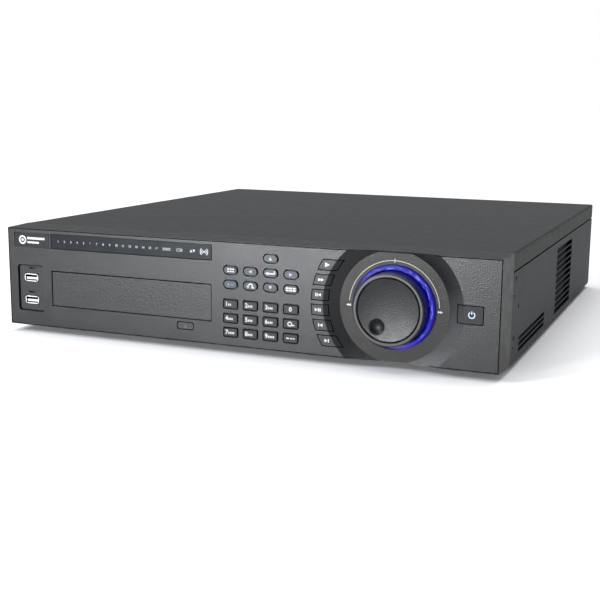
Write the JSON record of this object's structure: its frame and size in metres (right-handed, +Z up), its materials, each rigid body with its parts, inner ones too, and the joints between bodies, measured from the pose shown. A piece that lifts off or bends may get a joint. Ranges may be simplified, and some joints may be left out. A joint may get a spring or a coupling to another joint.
{
  "type": "video recorder",
  "caption": "Flat rack-height video recorder with a moulded front, keypad, disc tray, lit jog and shuttle dial, sheet steel case, fans and rear sockets.",
  "frame": {"origin": "middle of the recorder's outline on the surface that it stands on", "axes": "+X to the right seen from the front, +Y from the front to the back, +Z up"},
  "size_m": [0.44, 0.48, 0.093],
  "materials": {
    "front_panel": "satin, fine grain",
    "dial_disc": "satin",
    "light_ring": "lit blue, translucent",
    "dial_rim": "satin metallic",
    "dial_face": "satin metallic",
    "smoked_window": "smoked, glossy",
    "badge": "gloss",
    "tray_panel": "satin, fine grain",
    "oval_keys": "satin",
    "number_keys": "satin",
    "playback_keys": "satin",
    "power_key": "satin",
    "black_plastic": "matte",
    "fan_plastic": "matte",
    "case_top": "fine powder coat",
    "case_side": "fine powder coat",
    "rear_sheet": "fine powder coat",
    "black_steel": "black coated",
    "plated_steel": "zinc plated",
    "bright_metal": "nickel plated",
    "disk_aluminium": "cast and machined",
    "circuit_board": "solder mask",
    "terminal_green": "moulded",
    "ribbon": "flexible",
    "rubber": "matte",
    "white_ink": "printed marks",
    "grey_ink": "printed marks",
    "blue_ink": "printed mark"
  },
  "bodies": {
    "case": {"front_bezel": "front_panel", "dial_surround": "dial_disc", "light_ring": "light_ring", "jog_encoder": "bright_metal", "status_window": "smoked_window", "badge_plate": "badge", "key_board": "circuit_board", "usb_sockets": "bright_metal", "optical_drive": "plated_steel", "chassis": "case_side", "rear_panel": "rear_sheet", "top_cover": "case_top", "case_screws": "bright_metal", "feet": "rubber", "main_board": "circuit_board", "power_supply": "plated_steel", "hard_drives": "disk_aluminium", "drive_brackets": "black_steel", "fan_frames": "black_plastic", "power_inlet": "black_plastic", "bnc_jacks": "bright_metal", "rear_ports": "bright_metal", "alarm_terminals": "terminal_green", "front_panel_cable": "ribbon"},
    "shuttle": {"shuttle_ring": "dial_rim"},
    "jog": {"jog_dial": "dial_face"},
    "tray": {"disc_tray": "black_plastic", "tray_cover": "tray_panel"},
    "fan_left": {"fan_rotor_left": "fan_plastic"},
    "fan_right": {"fan_rotor_right": "fan_plastic"},
    "rocker": {"power_rocker": "black_plastic"},
    "power_button": {"power_button": "power_key"},
    "eject_button": {"eject_button": "front_panel"},
    "key_shift": {"key_shift": "oval_keys"},
    "key_escape": {"key_escape": "oval_keys"},
    "key_down": {"key_down": "oval_keys"},
    "key_multi": {"key_multi": "oval_keys"},
    "key_function": {"key_function": "oval_keys"},
    "key_left": {"key_left": "oval_keys"},
    "key_enter": {"key_enter": "oval_keys"},
    "key_right": {"key_right": "oval_keys"},
    "key_up": {"key_up": "oval_keys"},
    "key_7": {"key_7": "number_keys"},
    "key_8": {"key_8": "number_keys"},
    "key_9": {"key_9": "number_keys"},
    "key_dash": {"key_dash": "number_keys"},
    "key_4": {"key_4": "number_keys"},
    "key_5": {"key_5": "number_keys"},
    "key_6": {"key_6": "number_keys"},
    "key_circle": {"key_circle": "number_keys"},
    "key_1": {"key_1": "number_keys"},
    "key_2": {"key_2": "number_keys"},
    "key_3": {"key_3": "number_keys"},
    "key_0": {"key_0": "number_keys"},
    "key_play": {"key_play": "playback_keys"},
    "key_fast": {"key_fast": "playback_keys"},
    "key_reverse": {"key_reverse": "playback_keys"},
    "key_slow": {"key_slow": "playback_keys"},
    "key_previous": {"key_previous": "playback_keys"},
    "key_next": {"key_next": "playback_keys"}
  },
  "joints": [
    {"name": "shuttle_turn", "type": "hinge", "parent": "case", "child": "shuttle", "pos_m": [0.135, -0.23, 0.0492], "axis": [0, 1, 0], "range_deg": [-80, 80], "stiffness_Nm_per_rad": 0.03},
    {"name": "jog_spin", "type": "hinge", "parent": "case", "child": "jog", "pos_m": [0.135, -0.23, 0.0492], "axis": [0, 1, 0], "continuous": true},
    {"name": "tray_slide", "type": "slide", "parent": "case", "child": "tray", "axis": [0, -1, 0], "range_m": [0, 0.135]},
    {"name": "fan_left_spin", "type": "hinge", "parent": "case", "child": "fan_left", "pos_m": [-0.066, 0.22, 0.055], "axis": [0, 1, 0], "continuous": true},
    {"name": "fan_right_spin", "type": "hinge", "parent": "case", "child": "fan_right", "pos_m": [-0.002, 0.22, 0.055], "axis": [0, 1, 0], "continuous": true},
    {"name": "rocker_tip", "type": "hinge", "parent": "case", "child": "rocker", "pos_m": [-0.158, 0.2295, 0.031], "axis": [1, 0, 0], "range_deg": [0, 16]},
    {"name": "power_button_press", "type": "slide", "parent": "case", "child": "power_button", "axis": [0, 1, 0], "range_m": [0, 0.001], "stiffness_N_per_m": 300},
    {"name": "eject_button_press", "type": "slide", "parent": "case", "child": "eject_button", "axis": [0, 1, 0], "range_m": [0, 0.001], "stiffness_N_per_m": 300},
    {"name": "key_shift_press", "type": "slide", "parent": "case", "child": "key_shift", "axis": [0, 1, 0], "range_m": [0, 0.001], "stiffness_N_per_m": 300},
    {"name": "key_escape_press", "type": "slide", "parent": "case", "child": "key_escape", "axis": [0, 1, 0], "range_m": [0, 0.001], "stiffness_N_per_m": 300},
    {"name": "key_down_press", "type": "slide", "parent": "case", "child": "key_down", "axis": [0, 1, 0], "range_m": [0, 0.001], "stiffness_N_per_m": 300},
    {"name": "key_multi_press", "type": "slide", "parent": "case", "child": "key_multi", "axis": [0, 1, 0], "range_m": [0, 0.001], "stiffness_N_per_m": 300},
    {"name": "key_function_press", "type": "slide", "parent": "case", "child": "key_function", "axis": [0, 1, 0], "range_m": [0, 0.001], "stiffness_N_per_m": 300},
    {"name": "key_left_press", "type": "slide", "parent": "case", "child": "key_left", "axis": [0, 1, 0], "range_m": [0, 0.001], "stiffness_N_per_m": 300},
    {"name": "key_enter_press", "type": "slide", "parent": "case", "child": "key_enter", "axis": [0, 1, 0], "range_m": [0, 0.001], "stiffness_N_per_m": 300},
    {"name": "key_right_press", "type": "slide", "parent": "case", "child": "key_right", "axis": [0, 1, 0], "range_m": [0, 0.001], "stiffness_N_per_m": 300},
    {"name": "key_up_press", "type": "slide", "parent": "case", "child": "key_up", "axis": [0, 1, 0], "range_m": [0, 0.001], "stiffness_N_per_m": 300},
    {"name": "key_7_press", "type": "slide", "parent": "case", "child": "key_7", "axis": [0, 1, 0], "range_m": [0, 0.001], "stiffness_N_per_m": 300},
    {"name": "key_8_press", "type": "slide", "parent": "case", "child": "key_8", "axis": [0, 1, 0], "range_m": [0, 0.001], "stiffness_N_per_m": 300},
    {"name": "key_9_press", "type": "slide", "parent": "case", "child": "key_9", "axis": [0, 1, 0], "range_m": [0, 0.001], "stiffness_N_per_m": 300},
    {"name": "key_dash_press", "type": "slide", "parent": "case", "child": "key_dash", "axis": [0, 1, 0], "range_m": [0, 0.001], "stiffness_N_per_m": 300},
    {"name": "key_4_press", "type": "slide", "parent": "case", "child": "key_4", "axis": [0, 1, 0], "range_m": [0, 0.001], "stiffness_N_per_m": 300},
    {"name": "key_5_press", "type": "slide", "parent": "case", "child": "key_5", "axis": [0, 1, 0], "range_m": [0, 0.001], "stiffness_N_per_m": 300},
    {"name": "key_6_press", "type": "slide", "parent": "case", "child": "key_6", "axis": [0, 1, 0], "range_m": [0, 0.001], "stiffness_N_per_m": 300},
    {"name": "key_circle_press", "type": "slide", "parent": "case", "child": "key_circle", "axis": [0, 1, 0], "range_m": [0, 0.001], "stiffness_N_per_m": 300},
    {"name": "key_1_press", "type": "slide", "parent": "case", "child": "key_1", "axis": [0, 1, 0], "range_m": [0, 0.001], "stiffness_N_per_m": 300},
    {"name": "key_2_press", "type": "slide", "parent": "case", "child": "key_2", "axis": [0, 1, 0], "range_m": [0, 0.001], "stiffness_N_per_m": 300},
    {"name": "key_3_press", "type": "slide", "parent": "case", "child": "key_3", "axis": [0, 1, 0], "range_m": [0, 0.001], "stiffness_N_per_m": 300},
    {"name": "key_0_press", "type": "slide", "parent": "case", "child": "key_0", "axis": [0, 1, 0], "range_m": [0, 0.001], "stiffness_N_per_m": 300},
    {"name": "key_play_press", "type": "slide", "parent": "case", "child": "key_play", "axis": [0, 1, 0], "range_m": [0, 0.001], "stiffness_N_per_m": 300},
    {"name": "key_fast_press", "type": "slide", "parent": "case", "child": "key_fast", "axis": [0, 1, 0], "range_m": [0, 0.001], "stiffness_N_per_m": 300},
    {"name": "key_reverse_press", "type": "slide", "parent": "case", "child": "key_reverse", "axis": [0, 1, 0], "range_m": [0, 0.001], "stiffness_N_per_m": 300},
    {"name": "key_slow_press", "type": "slide", "parent": "case", "child": "key_slow", "axis": [0, 1, 0], "range_m": [0, 0.001], "stiffness_N_per_m": 300},
    {"name": "key_previous_press", "type": "slide", "parent": "case", "child": "key_previous", "axis": [0, 1, 0], "range_m": [0, 0.001], "stiffness_N_per_m": 300},
    {"name": "key_next_press", "type": "slide", "parent": "case", "child": "key_next", "axis": [0, 1, 0], "range_m": [0, 0.001], "stiffness_N_per_m": 300}
  ]
}
